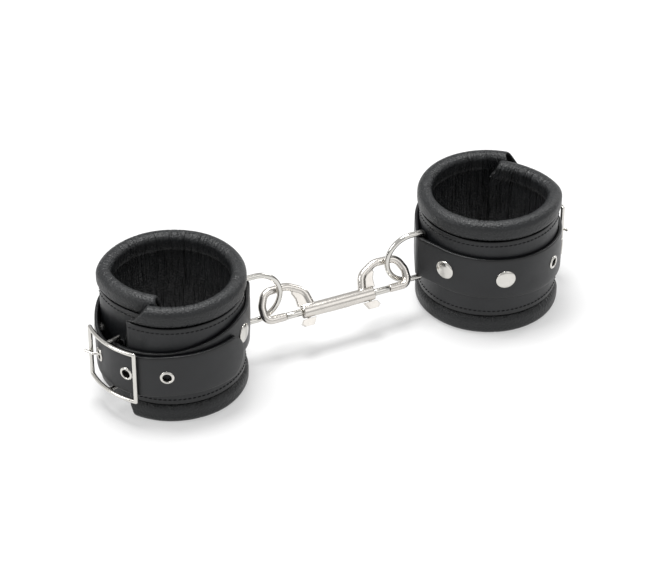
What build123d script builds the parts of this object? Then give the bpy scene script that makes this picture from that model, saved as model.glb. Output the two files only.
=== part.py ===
from build123d import *
import os
from math import acos, asin, atan2, cos, degrees, radians, sin, tan

# A pair of padded leather wrist cuffs joined by a double-ended bolt snap.
# Millimetres, +Z up. The origin is on the floor, midway between the two cuffs, and +X runs
# from the left cuff to the right one. Each cuff is modelled about its own upright axis, with
# its D-ring at angle 0, and is then placed; the right cuff is the left one turned half round.

# ---- overall sizes ----
CUFF_SPACING = 194.0      # between the axes of the two cuffs
CUFF_HEIGHT = 74.0        # floor to the top of the upper roll
PATH_R = 36.6             # radius of the middle line of the rolls

# ---- padded band ----
ROLL_WIDTH = 8.8          # radial thickness of a stuffed roll
ROLL_HEIGHT = 12.0        # height of a stuffed roll
ROLL_FLAT = 0.5           # how far the lower roll is pressed flat on the floor
LINING_THICK = 1.1        # garment leather of the lining and rolls
WALL_IN = 3.6             # inner face of the lining, inside the middle line
WALL_OUT = 1.3            # outer face of the foam, outside the middle line
PANEL_THICK = 1.6         # outer leather panel
PANEL_WIDTH = 50.0        # height of the outer panel
FLAP_END_OUT = -150.0     # angle where the outer flap ends
FLAP_TURN_IN = 148.0      # angle where the band starts to pass inside itself
FLAP_BEND_R = 13.0        # radius of the inward bend of the inner flap
FLAP_BEND_END = 180.0     # direction of the band where that bend ends
FLAP_LAY_R = 42.0         # radius of the inner flap after the bend
FLAP_LAY_END = 239.0      # direction of the band at the end of the inner flap
END_SKIN = 2.0            # leather folded over each end of the foam, in degrees
THREAD_R = 0.3            # sewing thread
STITCH_INSET = 3.0        # stitch row to panel edge

# ---- strap ----
STRAP_WIDTH = 26.0
STRAP_THICK = 2.5
STRAP_GAP = 0.1           # strap to panel
LAYER_GAP = 0.25          # tongue to the strap under it
STRAP_START = -161.0      # centre bar of the buckle
FOLD_TURN = 215.0         # how far the end of the strap is folded round that bar
STRAP_LEAVE = 148.0       # where the strap starts to rise over its own end
LEAVE_R = 60.0            # radius of the strap as it starts to rise
SETTLE_R = 36.0           # radius of the strap as it settles on the layer below
TONGUE_END = 307.0        # rounded tip of the tongue
TIP_R = 15.0              # rounding of the tip
BUCKLE_Z = 32.2           # middle of the buckle, and of the strap where it passes the buckle
DRING_Z = 39.5            # middle of the D-ring, and of the strap where it covers the bar
PASS_Z = 36.0             # middle of the strap where it leaves its own lower layer
# middle line of the strap: angle and height, for the lower layer and for the tongue
STRAP_HEIGHTS = [
    (STRAP_START, BUCKLE_Z), (-112, 35.0), (-80, 39.0), (-50, 42.5),
    (-12, DRING_Z), (20, DRING_Z), (76, 38.4), (STRAP_LEAVE, PASS_Z),
]
TONGUE_HEIGHTS = [
    (STRAP_LEAVE, PASS_Z), (180, BUCKLE_Z), (221, BUCKLE_Z), (247, 34.6), (TONGUE_END, 35.8),
]

# ---- rivets and eyelets ----
RIVET_ANGLES = [-46.0, 27.0, 76.0]
RIVET_CAP_R = 5.65
RIVET_CAP_H = 1.3
RIVET_STEM_R = 1.5
EYELET_ANGLES = [123.6, 153.6, 183.6, 213.6, 243.6]
EYELET_FLANGE_R = 4.0
EYELET_HOLE_R = 2.5
EYELET_WALL = 0.4
EYELET_FLANGE = 0.6

# ---- D-ring ----
WIRE_R = 1.6
FIT_GAP = 0.3             # clearance between a moving piece and its neighbour
DRING_REACH = 22.6        # bar axis to the middle of the bow
DRING_CORNER_R = WIRE_R + FIT_GAP

# ---- buckle ----
BAR_R = 1.2
BUCKLE_HEIGHT = 33.5
BUCKLE_SPREAD = 22.8      # centre bar to either end bar, in degrees
ROCK_ROOM = 0.7           # strap to the end bars, so that the frame can rock
PRONG_R = 0.8
PRONG_RING_HALF = 1.0     # half the width of the prong's ring
PRONG_LEAD = 0.25         # the prong passes its eyelet's middle this far towards the rest bar
PRONG_RING_R = 2.4
RUNNING_GAP = 0.06
PRONG_RISE = 40.0         # slope of the prong through the eyelet
PRONG_REST = 12.0         # slope of the prong over the rest bar
PRONG_TIP = 2.4           # how far the tip passes the rest bar
PRONG_SEAT = 0.12         # prong to rest bar
PRONG_SLOT = 5.0          # slot in the folded strap for the prong's ring

# ---- bolt snap ----
SNAP_Y = -5.5             # barrel axis
SNAP_Z = 26.0
SNAP_LEAN = 40.0          # lean of the plane of the hooks from upright
BARREL_R = 4.0
BARREL_HALF = 21.8
BORE_R = 2.05
WALL_HALF = 1.0           # wall between the two bores
BOLT_R = 1.98
BOLT_INNER = 15.0
GATE_TIP = 32.0           # face of the hook that the bolt closes against
BOLT_GAP = 0.1
HOOK_R = 2.3
HOOK_END = 44.0
HOOK_TOP = 15.8
RIB_POINTS = [(15.0, 0.0), (17.6, 11.2), (27.0, 16.2)]
RIB_RADII = [7.0, 9.0, 6.0, 6.0, 4.2]
WEB_POINTS = [(12.5, 0.0), (16.5, 9.6), (24.2, 13.6), (25.4, 11.6), (23.8, 8.0), (23.6, 3.4)]
WEB_THICK = 2.5           # thin web inside the neck of each hook
SLOT_HALF = 1.0
SLOT_INNER = 6.4
KNOB_X = 19.0
KNOB_STEM_R = 0.85
KNOB_LENGTH = 8.6
KNOB_THICK = 2.6
KNOB_LEAN = 0.8           # how far its outer corner leans outwards
KNOB_DROP = 8.4           # barrel axis to the far edge of the thumb knob
SPRING_WIRE_R = 0.22
SPRING_R = 1.7
SPRING_TURNS = 8

# ---- worked out ----
PANEL_R = PATH_R + WALL_OUT + PANEL_THICK
BAND_MID = CUFF_HEIGHT / 2
STRAP_R = PANEL_R + STRAP_GAP + STRAP_THICK / 2
TONGUE_R = STRAP_R + STRAP_THICK + LAYER_GAP
BAR_AXIS_R = PANEL_R + FIT_GAP + WIRE_R
HUMP_R = WIRE_R + FIT_GAP + STRAP_THICK / 2
LEG_HALF = STRAP_WIDTH / 2 + FIT_GAP + WIRE_R
FOLD_R = BAR_R + FIT_GAP + STRAP_THICK / 2
CENTRE_BAR_R = STRAP_R - FOLD_R
END_BAR_R = TONGUE_R + STRAP_THICK / 2 + ROCK_ROOM + BAR_R
RAIL_Z = BUCKLE_HEIGHT / 2 - BAR_R
TALL = 2 * CUFF_HEIGHT


def turn(angle):
    """Unit vector at an angle in degrees."""
    return Vector(cos(radians(angle)), sin(radians(angle)), 0)


def placed(shape, side):
    """A cuff piece in its place: side -1 is the left cuff, +1 the right one."""
    if side < 0:
        return Pos(-CUFF_SPACING / 2, 0, 0) * shape
    return Pos(CUFF_SPACING / 2, 0, 0) * Rot(0, 0, 180) * shape


def sector(centre, r_in, r_out, start, end, z_low, z_high):
    """Upright piece of a ring about a centre, between two angles."""
    inner = CenterArc(centre, r_in, start, end - start)
    outer = CenterArc(centre, r_out, start, end - start)
    edges = [inner, outer, Line(inner @ 0, outer @ 0), Line(inner @ 1, outer @ 1)]
    return Pos(0, 0, z_low) * extrude(make_face(edges), z_high - z_low)


def revolved(profile, centre, start, end):
    """A profile drawn in the XZ plane, turned about an upright axis between two angles."""
    solid = revolve(profile, Axis.Z, end - start)
    return Pos(centre.X, centre.Y, 0) * Rot(0, 0, start) * solid


# ---- padded band ----
def band_arcs(trim=0.0):
    """The band's three tangent arcs: centre, radius, start and end direction."""
    bend = turn(FLAP_TURN_IN) * (PATH_R - FLAP_BEND_R)
    lay = bend + turn(FLAP_BEND_END) * (FLAP_BEND_R - FLAP_LAY_R)
    return [
        (Vector(0, 0, 0), PATH_R, FLAP_END_OUT + trim, FLAP_TURN_IN),
        (bend, FLAP_BEND_R, FLAP_TURN_IN, FLAP_BEND_END),
        (lay, FLAP_LAY_R, FLAP_BEND_END, FLAP_LAY_END - trim * PATH_R / FLAP_LAY_R),
    ]


def swept_band(section, trim=0.0):
    """A section carried along the band; section(r) draws it at the radius r of the path."""
    parts = [revolved(section(r), centre, a, b) for centre, r, a, b in band_arcs(trim)]
    return parts[0] + parts[1] + parts[2]


def roll_face(radius, z, width, height):
    """Cross-section of a stuffed roll: an upright stadium."""
    slot = SlotOverall(height, width, rotation=90)
    return Plane.XZ * Pos(radius, z) * slot


def wall_face(radius, e_in, e_out, z_low, z_high):
    """Cross-section of a flat layer of the band, between two offsets from the middle line."""
    blank = Rectangle(e_out - e_in, z_high - z_low, align=(Align.MIN, Align.MIN))
    return Plane.XZ * Pos(radius + e_in, z_low) * blank


def roll_heights():
    low = ROLL_HEIGHT / 2 - ROLL_FLAT
    high = CUFF_HEIGHT - ROLL_HEIGHT / 2
    return low, high


def band_section(radius):
    low, high = roll_heights()
    face = wall_face(radius, -WALL_IN, WALL_OUT, low, high)
    face += roll_face(radius, low, ROLL_WIDTH, ROLL_HEIGHT)
    face += roll_face(radius, high, ROLL_WIDTH, ROLL_HEIGHT)
    return face - wall_face(radius, -ROLL_WIDTH, ROLL_WIDTH, -ROLL_HEIGHT, 0)


def foam_section(radius):
    low, high = roll_heights()
    shrink = 2 * LINING_THICK
    face = wall_face(radius, LINING_THICK - WALL_IN, WALL_OUT, low, high)
    face += roll_face(radius, low, ROLL_WIDTH - shrink, ROLL_HEIGHT - shrink)
    face += roll_face(radius, high, ROLL_WIDTH - shrink, ROLL_HEIGHT - shrink)
    return face


def panel_section(radius):
    low = BAND_MID - PANEL_WIDTH / 2
    return wall_face(radius, WALL_OUT, WALL_OUT + PANEL_THICK, low, low + PANEL_WIDTH)


def foam():
    return swept_band(foam_section, END_SKIN)


def lining():
    return swept_band(band_section) - foam()


def panel():
    """Outer leather panel, with a hole for the stem of each rivet."""
    shape = swept_band(panel_section)
    for angle in RIVET_ANGLES:
        height = strap_height(angle)
        hole = radial_cylinder(angle, height, RIVET_STEM_R, PANEL_R - 2 * PANEL_THICK, PANEL_R + 1)
        shape -= hole
    return shape


def stitching():
    """Two rows of sewing thread, one along each edge of the panel."""
    rows = []
    for way in (-1, 1):
        height = BAND_MID + way * (PANEL_WIDTH / 2 - STITCH_INSET)
        offset = WALL_OUT + PANEL_THICK + THREAD_R

        def thread(radius):
            return Plane.XZ * Pos(radius + offset, height) * Circle(THREAD_R)

        rows.append(swept_band(thread, END_SKIN))
    return Compound(children=rows)


# ---- strap ----
def level(knots, angle):
    """Height of the strap's middle line at an angle, between its knots."""
    for (a, za), (b, zb) in zip(knots, knots[1:]):
        if a <= angle <= b:
            middle = (a + b) / 2
            reach = sin(radians((b - a) / 2))
            return (za + zb) / 2 + (zb - za) / 2 * sin(radians(angle - middle)) / reach
    raise ValueError("angle is off the strap")


def strap_height(angle):
    return level(STRAP_HEIGHTS, angle)


def tongue_height(angle):
    return level(TONGUE_HEIGHTS, angle)


def slab(a, za, b, zb, radius):
    """A thick wedge of space between two angles, whose top and bottom lean so that its middle
    is at za at the first angle and at zb at the second, at the given radius."""
    middle = (a + b) / 2
    lean = degrees(asin((zb - za) / 2 / (radius * sin(radians((b - a) / 2)))))
    reach = 3 * radius
    corners = [(0, 0)] + [tuple(turn(angle) * reach)[:2] for angle in (a, middle, b)]
    wedge = extrude(make_face(Polyline(*corners, close=True)), TALL, both=True)
    layer = Rot(lean, 0, 0) * Box(8 * radius, 8 * radius, STRAP_WIDTH)
    return wedge & (Rot(0, 0, middle) * Pos(0, 0, (za + zb) / 2) * layer)


def shaped(profile, knots, radius):
    """An upright strip of leather cut to its width along its knots."""
    parts = [profile & slab(a, za, b, zb, radius) for (a, za), (b, zb) in zip(knots, knots[1:])]
    shape = parts[0]
    for part in parts[1:]:
        shape += part
    return shape


def ring_strip(centre, radius, a, b):
    half = STRAP_THICK / 2
    return sector(centre, radius - half, radius + half, a, b, 0, CUFF_HEIGHT)


def hump_angle():
    """Angle each side of the D-ring where the strap leaves the panel."""
    return degrees(acos((STRAP_R - HUMP_R) / BAR_AXIS_R))


def hump():
    """The strap's straight rises to the D-ring's bar and its crown over the bar."""
    lift = hump_angle()
    bar = Vector(BAR_AXIS_R, 0, 0)
    half = STRAP_THICK / 2
    shape = ring_strip(bar, HUMP_R, -lift, lift)
    for way in (-1, 1):
        out = turn(way * lift)
        foot = [out * (STRAP_R - half), out * (STRAP_R + half)]
        crown = [bar + out * (HUMP_R + half), bar + out * (HUMP_R - half)]
        face = make_face(Polyline(*[(p.X, p.Y) for p in foot + crown], close=True))
        shape += extrude(face, CUFF_HEIGHT)
    return shape


def rise_arcs():
    """The strap's two tangent arcs as it climbs on to its own lower layer."""
    back = LEAVE_R - STRAP_R
    step = LEAVE_R - SETTLE_R
    home = TONGUE_R - SETTLE_R
    swing = degrees(acos((back ** 2 + step ** 2 - home ** 2) / (2 * back * step)))
    first = turn(STRAP_LEAVE) * -back
    middle = STRAP_LEAVE + swing
    second = first + turn(middle) * step
    return first, middle, second, heading(second)


def heading(vector):
    """Angle of a vector from +X, from 0 to 360 degrees."""
    angle = degrees(acos(vector.X / vector.length))
    return angle if vector.Y >= 0 else 360 - angle


def fold():
    """The end of the strap, folded round the centre bar, with a slot for the prong."""
    centre = turn(STRAP_START) * CENTRE_BAR_R
    strip = ring_strip(centre, FOLD_R, STRAP_START - FOLD_TURN, STRAP_START)
    return strip & (Pos(0, 0, BUCKLE_Z) * Box(2 * TALL, 2 * TALL, STRAP_WIDTH))


def prong_slot():
    """The opening for the prong's ring through the folded end of the strap."""
    reach = FOLD_R + STRAP_THICK
    centre = turn(STRAP_START) * CENTRE_BAR_R
    block = Pos(0, reach, 0) * Box(4 * reach, 2 * (reach + PRONG_RING_R + FIT_GAP), PRONG_SLOT)
    slot = Cylinder(reach, PRONG_SLOT) & (Rot(0, 0, STRAP_START + 180) * block)
    return Pos(centre.X, centre.Y, BUCKLE_Z) * slot


def strap():
    """One long riveted strap: from the buckle, round the cuff and on over itself as the tongue."""
    lift = hump_angle()
    origin = Vector(0, 0, 0)
    lower = ring_strip(origin, STRAP_R, STRAP_START, -lift)
    lower += hump()
    lower += ring_strip(origin, STRAP_R, lift, STRAP_LEAVE)
    shape = shaped(lower, STRAP_HEIGHTS, STRAP_R)
    first, middle, second, settled = rise_arcs()
    upper = ring_strip(first, LEAVE_R, STRAP_LEAVE, middle)
    upper += ring_strip(second, SETTLE_R, middle, settled)
    upper += ring_strip(origin, TONGUE_R, settled, TONGUE_END)
    upper = shaped(upper, TONGUE_HEIGHTS, TONGUE_R)
    upper = upper - tip_waste()
    shape = shape + upper + fold() - prong_slot()
    for angle in RIVET_ANGLES:
        height = strap_height(angle)
        inner, outer = STRAP_R - STRAP_THICK, STRAP_R + STRAP_THICK
        shape -= radial_cylinder(angle, height, RIVET_STEM_R, inner, outer)
    for angle in EYELET_ANGLES:
        shape -= eyelet_blank(angle)
    return shape


def tip_waste():
    """What is cut away to round the tongue's tip."""
    height = tongue_height(TONGUE_END)
    middle = TONGUE_END - degrees(asin(TIP_R / TONGUE_R))
    inner, outer = TONGUE_R - STRAP_THICK, TONGUE_R + STRAP_THICK
    end = sector(Vector(0, 0, 0), inner, outer, middle, TONGUE_END + 5, 0, CUFF_HEIGHT)
    keep = radial_cylinder(middle, height, TIP_R, inner - STRAP_THICK, outer + STRAP_THICK)
    return end - keep


# ---- rivets and eyelets ----
def radial_cylinder(angle, height, radius, r_low, r_high):
    """A cylinder that points out of the cuff at an angle, between two distances from its axis."""
    post = Cylinder(radius, r_high - r_low, align=(Align.CENTER, Align.CENTER, Align.MIN))
    return Rot(0, 0, angle) * Pos(r_low, 0, height) * Rot(0, 90, 0) * post


def cap(radius, height, rim):
    """A shallow domed cap on a plane, facing +Z."""
    sphere_r = (radius ** 2 + (height - rim) ** 2) / (2 * (height - rim))
    disc = Cylinder(radius, height, align=(Align.CENTER, Align.CENTER, Align.MIN))
    return disc & Pos(0, 0, height - sphere_r) * Sphere(sphere_r)


def rivet(angle):
    """A rapid rivet: a cap outside the strap, and a stem through the strap and the panel."""
    seat = STRAP_R + STRAP_THICK / 2
    flat = (seat ** 2 - RIVET_CAP_R ** 2) ** 0.5
    drop = seat - flat
    head = cap(RIVET_CAP_R, RIVET_CAP_H + drop, drop + RIVET_CAP_H / 3)
    height = strap_height(angle)
    head = Rot(0, 0, angle) * Pos(flat, 0, height) * Rot(0, 90, 0) * head
    head -= Cylinder(seat, TALL, align=(Align.CENTER, Align.CENTER, Align.MIN))
    head -= hump()
    top = seat + RIVET_CAP_H / 2
    return head + radial_cylinder(angle, height, RIVET_STEM_R, PANEL_R - PANEL_THICK, top)


def rivets():
    return Compound(children=[rivet(angle) for angle in RIVET_ANGLES])


def strip_seat(angle):
    """Middle of the strap that an eyelet goes through, and the way the leather faces there."""
    first, middle, second, settled = rise_arcs()
    if angle <= STRAP_LEAVE:
        return turn(angle) * STRAP_R, angle
    if angle >= settled:
        return turn(angle) * TONGUE_R, angle
    if angle <= heading(first + turn(middle) * LEAVE_R):
        spot = turn(angle) * reach_to(first, LEAVE_R, angle)
        return spot, heading(spot - first)
    spot = turn(angle) * reach_to(second, SETTLE_R, angle)
    return spot, heading(spot - second)


def reach_to(centre, radius, angle):
    """Distance from the cuff's axis, at an angle, to an arc about another centre."""
    along = centre.dot(turn(angle))
    return along + (radius ** 2 - centre.length ** 2 + along ** 2) ** 0.5


def eyelet_height(angle):
    return strap_height(angle) if angle <= STRAP_LEAVE else tongue_height(angle)


def eyelet_post(angle, radius, low, high):
    """A cylinder square to the strap at an eyelet, between two offsets from its middle line."""
    spot, facing = strip_seat(angle)
    post = Cylinder(radius, high - low, align=(Align.CENTER, Align.CENTER, Align.MIN))
    post = Rot(0, 0, facing) * Rot(0, 90, 0) * Pos(0, 0, low) * post
    return Pos(spot.X, spot.Y, eyelet_height(angle)) * post


def eyelet_blank(angle):
    """The hole for an eyelet, with the shallow seat of its inner flange."""
    half = STRAP_THICK / 2
    hole = eyelet_post(angle, EYELET_HOLE_R + EYELET_WALL, -half - 2, half + 2)
    return hole + eyelet_post(angle, EYELET_FLANGE_R, -half - 2, EYELET_FLANGE - half)


def eyelet(angle):
    """A rolled eyelet: a proud flange outside, a tube, and a flange let into the inner face."""
    half = STRAP_THICK / 2
    back = EYELET_WALL / 2 - half
    shape = eyelet_post(angle, EYELET_HOLE_R + EYELET_WALL, back, half + EYELET_FLANGE)
    shape += eyelet_post(angle, EYELET_FLANGE_R, half, half + EYELET_FLANGE)
    shape += eyelet_post(angle, EYELET_FLANGE_R, back, EYELET_FLANGE - half)
    return shape - eyelet_post(angle, EYELET_HOLE_R, -half - 2, half + 2)


def eyelets():
    return Compound(children=[eyelet(angle) for angle in EYELET_ANGLES])


# ---- wire work ----
def wire_along(path, radius):
    """Round wire along a path of straight runs and tangent arcs."""
    start = Plane(origin=path @ 0, z_dir=path % 0)
    return sweep(start * Circle(radius), path=path)


def d_ring():
    """A welded D-ring: an upright bar held by the strap, two legs and a round bow."""
    bow = DRING_REACH - LEG_HALF
    corner = DRING_CORNER_R
    plane = Plane(origin=(BAR_AXIS_R, 0, DRING_Z), x_dir=(1, 0, 0), z_dir=(0, -1, 0))
    bar_half = LEG_HALF - corner
    pieces = []
    pieces.append(Line((0, -bar_half), (0, bar_half)))
    pieces.append(CenterArc((corner, bar_half), corner, 180, -90))
    pieces.append(Line((corner, LEG_HALF), (bow, LEG_HALF)))
    pieces.append(CenterArc((bow, 0), LEG_HALF, 90, -180))
    pieces.append(Line((bow, -LEG_HALF), (corner, -LEG_HALF)))
    pieces.append(CenterArc((corner, -bar_half), corner, 270, -90))
    solids = [wire_along(plane * piece, WIRE_R) for piece in pieces]
    shape = solids[0]
    for solid in solids[1:]:
        shape += solid
    return shape


# ---- buckle ----
def upright_bar(angle, radius, half):
    centre = turn(angle) * radius
    return Pos(centre.X, centre.Y, BUCKLE_Z) * Cylinder(BAR_R, 2 * half)


def buckle_frame():
    """Curved frame with two end bars outside the strap and a lower bar at its centre."""
    ends = [STRAP_START - BUCKLE_SPREAD, STRAP_START + BUCKLE_SPREAD]
    shape = upright_bar(STRAP_START, CENTRE_BAR_R, RAIL_Z)
    for angle in ends:
        shape += upright_bar(angle, END_BAR_R, RAIL_Z)
    for way in (-1, 1):
        height = BUCKLE_Z + way * RAIL_Z
        rail = CenterArc((0, 0, height), END_BAR_R, ends[0], ends[1] - ends[0])
        shape += wire_along(rail, BAR_R)
        for angle in ends:
            corner = turn(angle) * END_BAR_R
            shape += Pos(corner.X, corner.Y, height) * Sphere(BAR_R)
        inner = turn(STRAP_START) * CENTRE_BAR_R
        outer = turn(STRAP_START) * END_BAR_R
        drop = Line((inner.X, inner.Y, height), (outer.X, outer.Y, height))
        shape += wire_along(drop, BAR_R)
        shape += Pos(inner.X, inner.Y, height) * Sphere(BAR_R)
    return shape


def prong_plane():
    """Plane across the centre bar: x runs along the strap to the rest bar, y points outwards."""
    out = turn(STRAP_START)
    centre = out * CENTRE_BAR_R
    along = turn(STRAP_START - 90)
    return Plane(origin=(centre.X, centre.Y, BUCKLE_Z), x_dir=along, z_dir=along.cross(out))


def rod(plane, start, end, radius):
    """Round rod between two points of a plane, with rounded ends."""
    run = Vector(end[0] - start[0], end[1] - start[1], 0)
    post = Cylinder(radius, run.length, align=(Align.CENTER, Align.CENTER, Align.MIN))
    lay = Rot(0, 0, degrees(atan2(run.Y, run.X))) * Rot(0, 90, 0)
    ends = Sphere(radius) + Pos(run.X, run.Y, 0) * Sphere(radius)
    return plane * Pos(start[0], start[1], 0) * (lay * post + ends)


def prong():
    """Wire prong with a ring round the centre bar; it rises through an eyelet to the rest bar."""
    plane = prong_plane()
    flat = (PRONG_RING_R + BAR_R) / 2
    hole = 360 + STRAP_START - EYELET_ANGLES[2]
    hole_x = TONGUE_R * sin(radians(hole)) + PRONG_LEAD * cos(radians(hole))
    hole_y = TONGUE_R * cos(radians(hole)) - PRONG_LEAD * sin(radians(hole)) - CENTRE_BAR_R
    steep = tan(radians(PRONG_RISE))
    easy = tan(radians(PRONG_REST))
    over = BAR_R + PRONG_R + PRONG_SEAT
    rest_x = END_BAR_R * sin(radians(BUCKLE_SPREAD)) - over * sin(radians(PRONG_REST))
    rest_y = END_BAR_R * cos(radians(BUCKLE_SPREAD)) - CENTRE_BAR_R + over * cos(radians(PRONG_REST))
    knee_x = (rest_y - easy * rest_x - hole_y + steep * hole_x) / (steep - easy)
    points = [
        (0, flat),
        (hole_x - (hole_y - flat) / steep, flat),
        (knee_x, hole_y + steep * (knee_x - hole_x)),
        (rest_x + PRONG_TIP, rest_y + easy * PRONG_TIP),
    ]
    shape = plane * extrude(Circle(PRONG_RING_R), PRONG_RING_HALF, both=True)
    for start, end in zip(points, points[1:]):
        shape += rod(plane, start, end, PRONG_R)
    bore = plane * extrude(Circle(BAR_R + RUNNING_GAP), 3 * PRONG_R, both=True)
    return shape - bore


# ---- bolt snap ----
def snap_plane():
    """Plane of the hooks: x along the barrel, y up towards the hooks, through the barrel's axis."""
    up = Vector(0, sin(radians(SNAP_LEAN)), cos(radians(SNAP_LEAN)))
    return Plane(origin=(0, SNAP_Y, SNAP_Z), x_dir=(1, 0, 0), z_dir=Vector(1, 0, 0).cross(up))


def both_ends(shape):
    """A piece of the snap and its mirror image at the other end."""
    return shape + mirror(shape, Plane.YZ)


def hook():
    """One hook of the snap, drawn flat: a round rib and a thin web at its neck."""
    end = [(HOOK_END - 3.5, HOOK_TOP), (HOOK_END, 8.5), (HOOK_END, 0.0), (GATE_TIP, 0.0)]
    path = FilletPolyline(*(RIB_POINTS + end), radius=RIB_RADII)
    neck = WEB_POINTS + [(BARREL_HALF, 2.6), (BARREL_HALF, 0.0)]
    web = extrude(make_face(Polyline(*neck, close=True)), WEB_THICK / 2, both=True)
    return wire_along(path, HOOK_R) + web


def barrel_cuts(way):
    """The bore and the knob's slot at one end of the barrel; way is -1 or +1."""
    length = BARREL_HALF - WALL_HALF + 1
    bore = Pos(way * (WALL_HALF + length / 2), 0, 0) * Rot(0, 90, 0) * Cylinder(BORE_R, length)
    run = BARREL_HALF + 1 - SLOT_INNER
    slot = Pos(way * (SLOT_INNER + run / 2), -BARREL_R, 0) * Box(run, 2 * BARREL_R, 2 * SLOT_HALF)
    return bore + slot


def snap_body():
    """Cast body: a barrel with a blind bore at each end, and a hook beyond each end."""
    shape = Rot(0, 90, 0) * Cylinder(BARREL_R, 2 * BARREL_HALF)
    shape = shape + both_ends(hook())
    for way in (-1, 1):
        shape -= barrel_cuts(way)
    return snap_plane() * shape


def bolt(way):
    """Sliding bolt that closes the hook, with a hole for the stem of its knob."""
    length = GATE_TIP - BOLT_GAP - BOLT_INNER
    shape = Pos(way * (BOLT_INNER + length / 2), 0, 0) * Rot(0, 90, 0) * Cylinder(BOLT_R, length)
    socket = Pos(way * KNOB_X, -BOLT_R, 0) * Rot(90, 0, 0) * Cylinder(KNOB_STEM_R, 2 * BOLT_R - 1)
    return snap_plane() * (shape - socket)


def knob(way):
    """Thumb knob: a leaning tab on a stem that is pressed into the bolt."""
    top = -BARREL_R - FIT_GAP
    stem_top = -0.5
    stem_run = KNOB_DROP - 1 + stem_top
    stem = Rot(90, 0, 0) * Cylinder(KNOB_STEM_R, stem_run)
    stem = Pos(way * KNOB_X, stem_top - stem_run / 2, 0) * stem
    half = KNOB_LENGTH / 2
    outer = KNOB_X + half
    inner = KNOB_X - half
    outline = [
        (inner, top), (outer - 1, top), (outer + KNOB_LEAN, 1.6 - KNOB_DROP),
        (outer - 1, -KNOB_DROP), (inner + 2.4, -KNOB_DROP),
    ]
    face = make_face(Polyline(*[(way * x, y) for x, y in outline], close=True))
    tab = extrude(face, KNOB_THICK / 2, both=True)
    return snap_plane() * (tab + stem)


def spring(way):
    """Compression spring between the wall and the bolt."""
    run = BOLT_INNER - WALL_HALF - 2 * SPRING_WIRE_R - 0.1
    path = Helix(run / SPRING_TURNS, run, SPRING_R)
    start = Plane(origin=path @ 0, z_dir=path % 0)
    coil = sweep(start * Circle(SPRING_WIRE_R), path=path, is_frenet=True)
    coil = Pos(WALL_HALF + SPRING_WIRE_R + 0.05, 0, 0) * Rot(0, 90, 0) * coil
    if way < 0:
        coil = mirror(coil, Plane.YZ)
    return snap_plane() * coil


def export(shape, name):
    export_step(shape, "parts/" + name + ".step")


def main():
    os.makedirs("parts", exist_ok=True)
    cuff_pieces = {
        "lining": lining(), "foam_core": foam(), "outer_panel": panel(), "stitching": stitching(),
        "strap": strap(), "rivets": rivets(), "eyelets": eyelets(), "d_ring": d_ring(),
        "buckle_frame": buckle_frame(), "buckle_prong": prong(),
    }
    for side, word in ((-1, "left"), (1, "right")):
        for name, shape in cuff_pieces.items():
            export(placed(shape, side), name + "_" + word)
        export(bolt(side), "bolt_" + word)
        export(knob(side), "thumb_knob_" + word)
        export(spring(side), "bolt_spring_" + word)
    export(snap_body(), "snap_body")


main()
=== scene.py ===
"""A pair of padded leather wrist cuffs joined by a double-ended bolt snap.

Each cuff is a stuffed band of garment leather with a bridle leather panel sewn round it, and a
riveted strap that holds a D-ring and buckles over itself. Constants are in millimetres; settings
and meshes are in metres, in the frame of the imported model.
"""

from contextlib import contextmanager
from math import acos, cos, degrees, pi, radians, sin

import bmesh
import bpy
import numpy as np
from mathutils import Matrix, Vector


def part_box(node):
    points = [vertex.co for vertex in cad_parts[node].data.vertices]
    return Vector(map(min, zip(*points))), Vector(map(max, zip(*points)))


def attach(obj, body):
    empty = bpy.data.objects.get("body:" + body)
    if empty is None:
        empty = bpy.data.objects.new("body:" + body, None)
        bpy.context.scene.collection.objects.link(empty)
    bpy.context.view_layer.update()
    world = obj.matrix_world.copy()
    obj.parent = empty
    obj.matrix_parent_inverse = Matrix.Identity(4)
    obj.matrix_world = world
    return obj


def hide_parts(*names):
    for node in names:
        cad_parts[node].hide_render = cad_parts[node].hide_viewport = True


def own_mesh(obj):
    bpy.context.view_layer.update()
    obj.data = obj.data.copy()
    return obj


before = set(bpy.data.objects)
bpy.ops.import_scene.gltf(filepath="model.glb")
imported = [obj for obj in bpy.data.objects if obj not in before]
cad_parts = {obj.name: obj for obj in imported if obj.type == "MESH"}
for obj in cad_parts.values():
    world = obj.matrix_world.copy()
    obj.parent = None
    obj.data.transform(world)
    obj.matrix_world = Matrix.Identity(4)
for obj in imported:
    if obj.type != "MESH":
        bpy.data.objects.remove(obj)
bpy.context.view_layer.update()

bl_info = {
    "name": "Padded wrist cuffs",
    "version": (1, 0, 0),
    "blender": (4, 5, 0),
    "location": "View3D > Sidebar > Cuffs",
    "description": "Builds two padded leather cuffs and the double-ended snap between them",
    "category": "Object",
}

MM = 0.001

# ---- band, in millimetres and degrees about the cuff's axis ----
PATH_R = 36.6               # middle line of the rolls
ROLL_HALF = 4.4
ROLL_FLAT = 1.6             # half the straight side of a roll
ROLL_LOW = 5.5              # heights of the middles of the two rolls
ROLL_HIGH = 68.0
BAND_TOP = 74.0
WALL_IN = -3.6              # faces of the wall, from the middle line
WALL_OUT = 1.3
PANEL_THICK = 1.6
PANEL_LOW = 12.0
PANEL_HIGH = 62.0
STITCH_INSET = 3.0          # row of stitches to the edge of the panel
STITCH_ROWS = (PANEL_LOW + STITCH_INSET, PANEL_HIGH - STITCH_INSET)
STITCH_SHARE = 0.74         # how much of the pitch a stitch covers
GROOVE_DEPTH = 0.22         # the stitches lie in a shallow groove
PANEL_EASE = 0.55           # radius of the panel's edges
CREASES = (11.4, 62.4)      # where the rolls meet the wall
FLAP_START = -150.0         # end of the outer flap
FLAP_TURN = 148.0           # where the band bends inwards, under the outer flap
BEND_R = 13.0
BEND_END = 180.0
LAY_R = 42.0                # the inner flap after the bend
LAY_END = 239.0
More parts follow.
